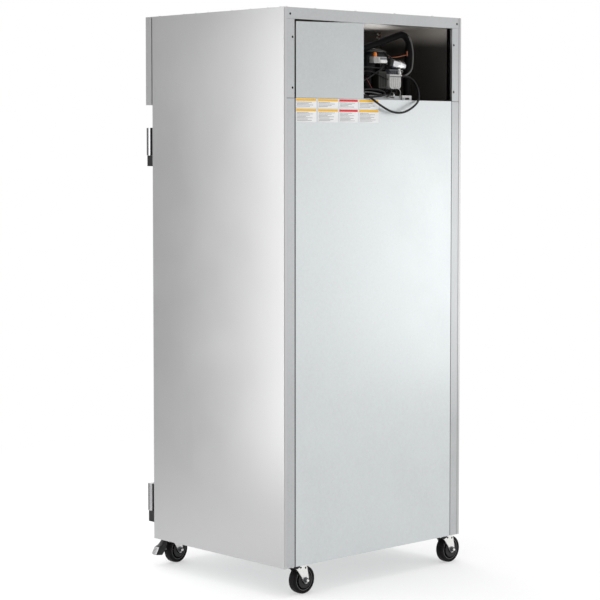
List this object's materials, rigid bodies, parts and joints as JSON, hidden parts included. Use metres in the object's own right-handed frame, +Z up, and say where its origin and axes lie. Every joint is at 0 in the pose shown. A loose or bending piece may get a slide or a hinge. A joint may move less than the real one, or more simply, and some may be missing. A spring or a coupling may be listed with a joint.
{
  "type": "proofing cabinet",
  "caption": "Tall single-door retarder-proofer cabinet on swivel casters, with a top compressor compartment open at the rear, pan slides inside and a power cord.",
  "frame": {"origin": "on the floor, at the centre of the box of the cabinet without its free cord", "axes": "+Z up, -Y towards the door's side, +X towards the door's hinges"},
  "size_m": [0.9407, 0.837, 2.0785],
  "materials": {
    "stainless": "fine vertical brushed stainless steel",
    "galvanised": "galvanised sheet, satin, light bluish grey",
    "liner_steel": "smooth satin aluminium",
    "dark_steel": "smooth polished sheet in shade",
    "foam": "rigid polyurethane foam",
    "breaker_plastic": "satin light grey plastic",
    "gasket_rubber": "soft matt black",
    "chrome": "bright chrome",
    "black_plastic": "fine grained black",
    "grey_plastic": "satin grey moulded plastic",
    "black_paint": "semi-gloss black enamel",
    "zinc": "bright zinc plate",
    "copper": "drawn copper tube",
    "aluminium": "bright aluminium",
    "caster_rubber": "matt black rubber on a black plastic core",
    "black_foam": "matt black closed-cell insulation",
    "cord_rubber": "smooth matt black",
    "steel": "bare steel"
  },
  "bodies": {
    "cabinet": {"back_panel": "galvanised", "base_pan": "galvanised", "cabin_liner": "liner_steel", "caster_plates": "zinc", "compartment_lining": "dark_steel", "compressor": "black_paint", "compressor_feet": "gasket_rubber", "condenser_coil": "aluminium", "condenser_fan_motor": "black_paint", "condensing_base": "galvanised", "copper_lines": "copper", "cord_coil": "cord_rubber", "cord_gland": "cord_rubber", "door_frame": "breaker_plastic", "evaporator_coil": "aluminium", "evaporator_fan_motor": "black_paint", "evaporator_housing": "liner_steel", "fan_partition": "dark_steel", "foam_insulation": "foam", "heater_element": "steel", "hinge_blocks": "black_plastic", "hood_brackets": "galvanised", "pan_slides": "steel", "panel_screws": "zinc", "pilasters": "steel", "power_cord": "cord_rubber", "power_plug": "black_plastic", "rear_stiles": "galvanised", "rear_top_rail": "galvanised", "relay_box": "grey_plastic", "run_capacitor": "aluminium", "service_cover": "galvanised", "side_panel_left": "stainless", "side_panel_right": "stainless", "suction_line": "black_foam", "terminal_box": "grey_plastic", "top_panel": "stainless", "water_pan": "steel"},
    "door": {"door_skin": "stainless", "door_foam": "foam", "door_inner_panel": "stainless", "door_gasket": "gasket_rubber", "door_handle": "stainless", "hinge_straps": "chrome"},
    "hood": {"hood_panel": "stainless", "control_panel": "black_plastic"},
    "lock_barrel": {"door_lock": "chrome"},
    "power_rocker": {"power_switch": "black_plastic"},
    "condenser_fan": {"condenser_fan_blade": "black_plastic"},
    "evaporator_fan": {"evaporator_fan_blade": "black_plastic"},
    "swivel_rear_right": {"caster_fork_rear_right": "zinc"},
    "wheel_rear_right": {"caster_wheel_rear_right": "caster_rubber"},
    "swivel_rear_left": {"caster_fork_rear_left": "zinc"},
    "wheel_rear_left": {"caster_wheel_rear_left": "caster_rubber"},
    "swivel_front_right": {"caster_fork_front_right": "zinc"},
    "wheel_front_right": {"caster_wheel_front_right": "caster_rubber"},
    "brake_front_right": {"brake_pedal_front_right": "black_plastic"},
    "swivel_front_left": {"caster_fork_front_left": "zinc"},
    "wheel_front_left": {"caster_wheel_front_left": "caster_rubber"},
    "brake_front_left": {"brake_pedal_front_left": "black_plastic"}
  },
  "joints": [
    {"name": "door_hinge", "type": "hinge", "parent": "cabinet", "child": "door", "pos_m": [0.44, -0.358, 0.9], "axis": [0, 0, 1], "range_deg": [0, 120]},
    {"name": "hood_hinge", "type": "hinge", "parent": "cabinet", "child": "hood", "pos_m": [0, -0.336, 2.071], "axis": [-1, 0, 0], "range_deg": [0, 75]},
    {"name": "lock_turn", "type": "hinge", "parent": "door", "child": "lock_barrel", "pos_m": [-0.396, -0.36, 1.21], "axis": [0, 1, 0], "range_deg": [0, 90]},
    {"name": "power_rocker_tilt", "type": "hinge", "parent": "hood", "child": "power_rocker", "pos_m": [-0.255, -0.367, 1.9], "axis": [1, 0, 0], "range_deg": [0, 16]},
    {"name": "condenser_fan_spin", "type": "hinge", "parent": "cabinet", "child": "condenser_fan", "pos_m": [-0.11, 0.008, 1.895], "axis": [0, 1, 0], "continuous": true},
    {"name": "evaporator_fan_spin", "type": "hinge", "parent": "cabinet", "child": "evaporator_fan", "pos_m": [0, 0.104, 1.615], "axis": [0, 1, 0], "continuous": true},
    {"name": "swivel_rear_right_turn", "type": "hinge", "parent": "cabinet", "child": "swivel_rear_right", "pos_m": [0.383, 0.373, 0.115], "axis": [0, 0, 1], "continuous": true},
    {"name": "wheel_rear_right_spin", "type": "hinge", "parent": "swivel_rear_right", "child": "wheel_rear_right", "pos_m": [0.341, 0.373, 0.0508], "axis": [0, -1, 0], "continuous": true},
    {"name": "swivel_rear_left_turn", "type": "hinge", "parent": "cabinet", "child": "swivel_rear_left", "pos_m": [-0.383, 0.373, 0.115], "axis": [0, 0, 1], "continuous": true},
    {"name": "wheel_rear_left_spin", "type": "hinge", "parent": "swivel_rear_left", "child": "wheel_rear_left", "pos_m": [-0.425, 0.373, 0.0508], "axis": [0, -1, 0], "continuous": true},
    {"name": "swivel_front_right_turn", "type": "hinge", "parent": "cabinet", "child": "swivel_front_right", "pos_m": [0.386, -0.326, 0.115], "axis": [0, 0, 1], "continuous": true},
    {"name": "wheel_front_right_spin", "type": "hinge", "parent": "swivel_front_right", "child": "wheel_front_right", "pos_m": [0.34441, -0.33185, 0.0508], "axis": [0.1392, -0.9903, 0], "continuous": true},
    {"name": "brake_front_right_press", "type": "hinge", "parent": "swivel_front_right", "child": "brake_front_right", "pos_m": [0.40085, -0.32391, 0.096], "axis": [-0.1392, 0.9903, 0], "range_deg": [0, 12]},
    {"name": "swivel_front_left_turn", "type": "hinge", "parent": "cabinet", "child": "swivel_front_left", "pos_m": [-0.386, -0.326, 0.115], "axis": [0, 0, 1], "continuous": true},
    {"name": "wheel_front_left_spin", "type": "hinge", "parent": "swivel_front_left", "child": "wheel_front_left", "pos_m": [-0.344, -0.326, 0.0508], "axis": [0, 1, 0], "continuous": true},
    {"name": "brake_front_left_press", "type": "hinge", "parent": "swivel_front_left", "child": "brake_front_left", "pos_m": [-0.401, -0.326, 0.096], "axis": [0, -1, 0], "range_deg": [0, 12]}
  ]
}
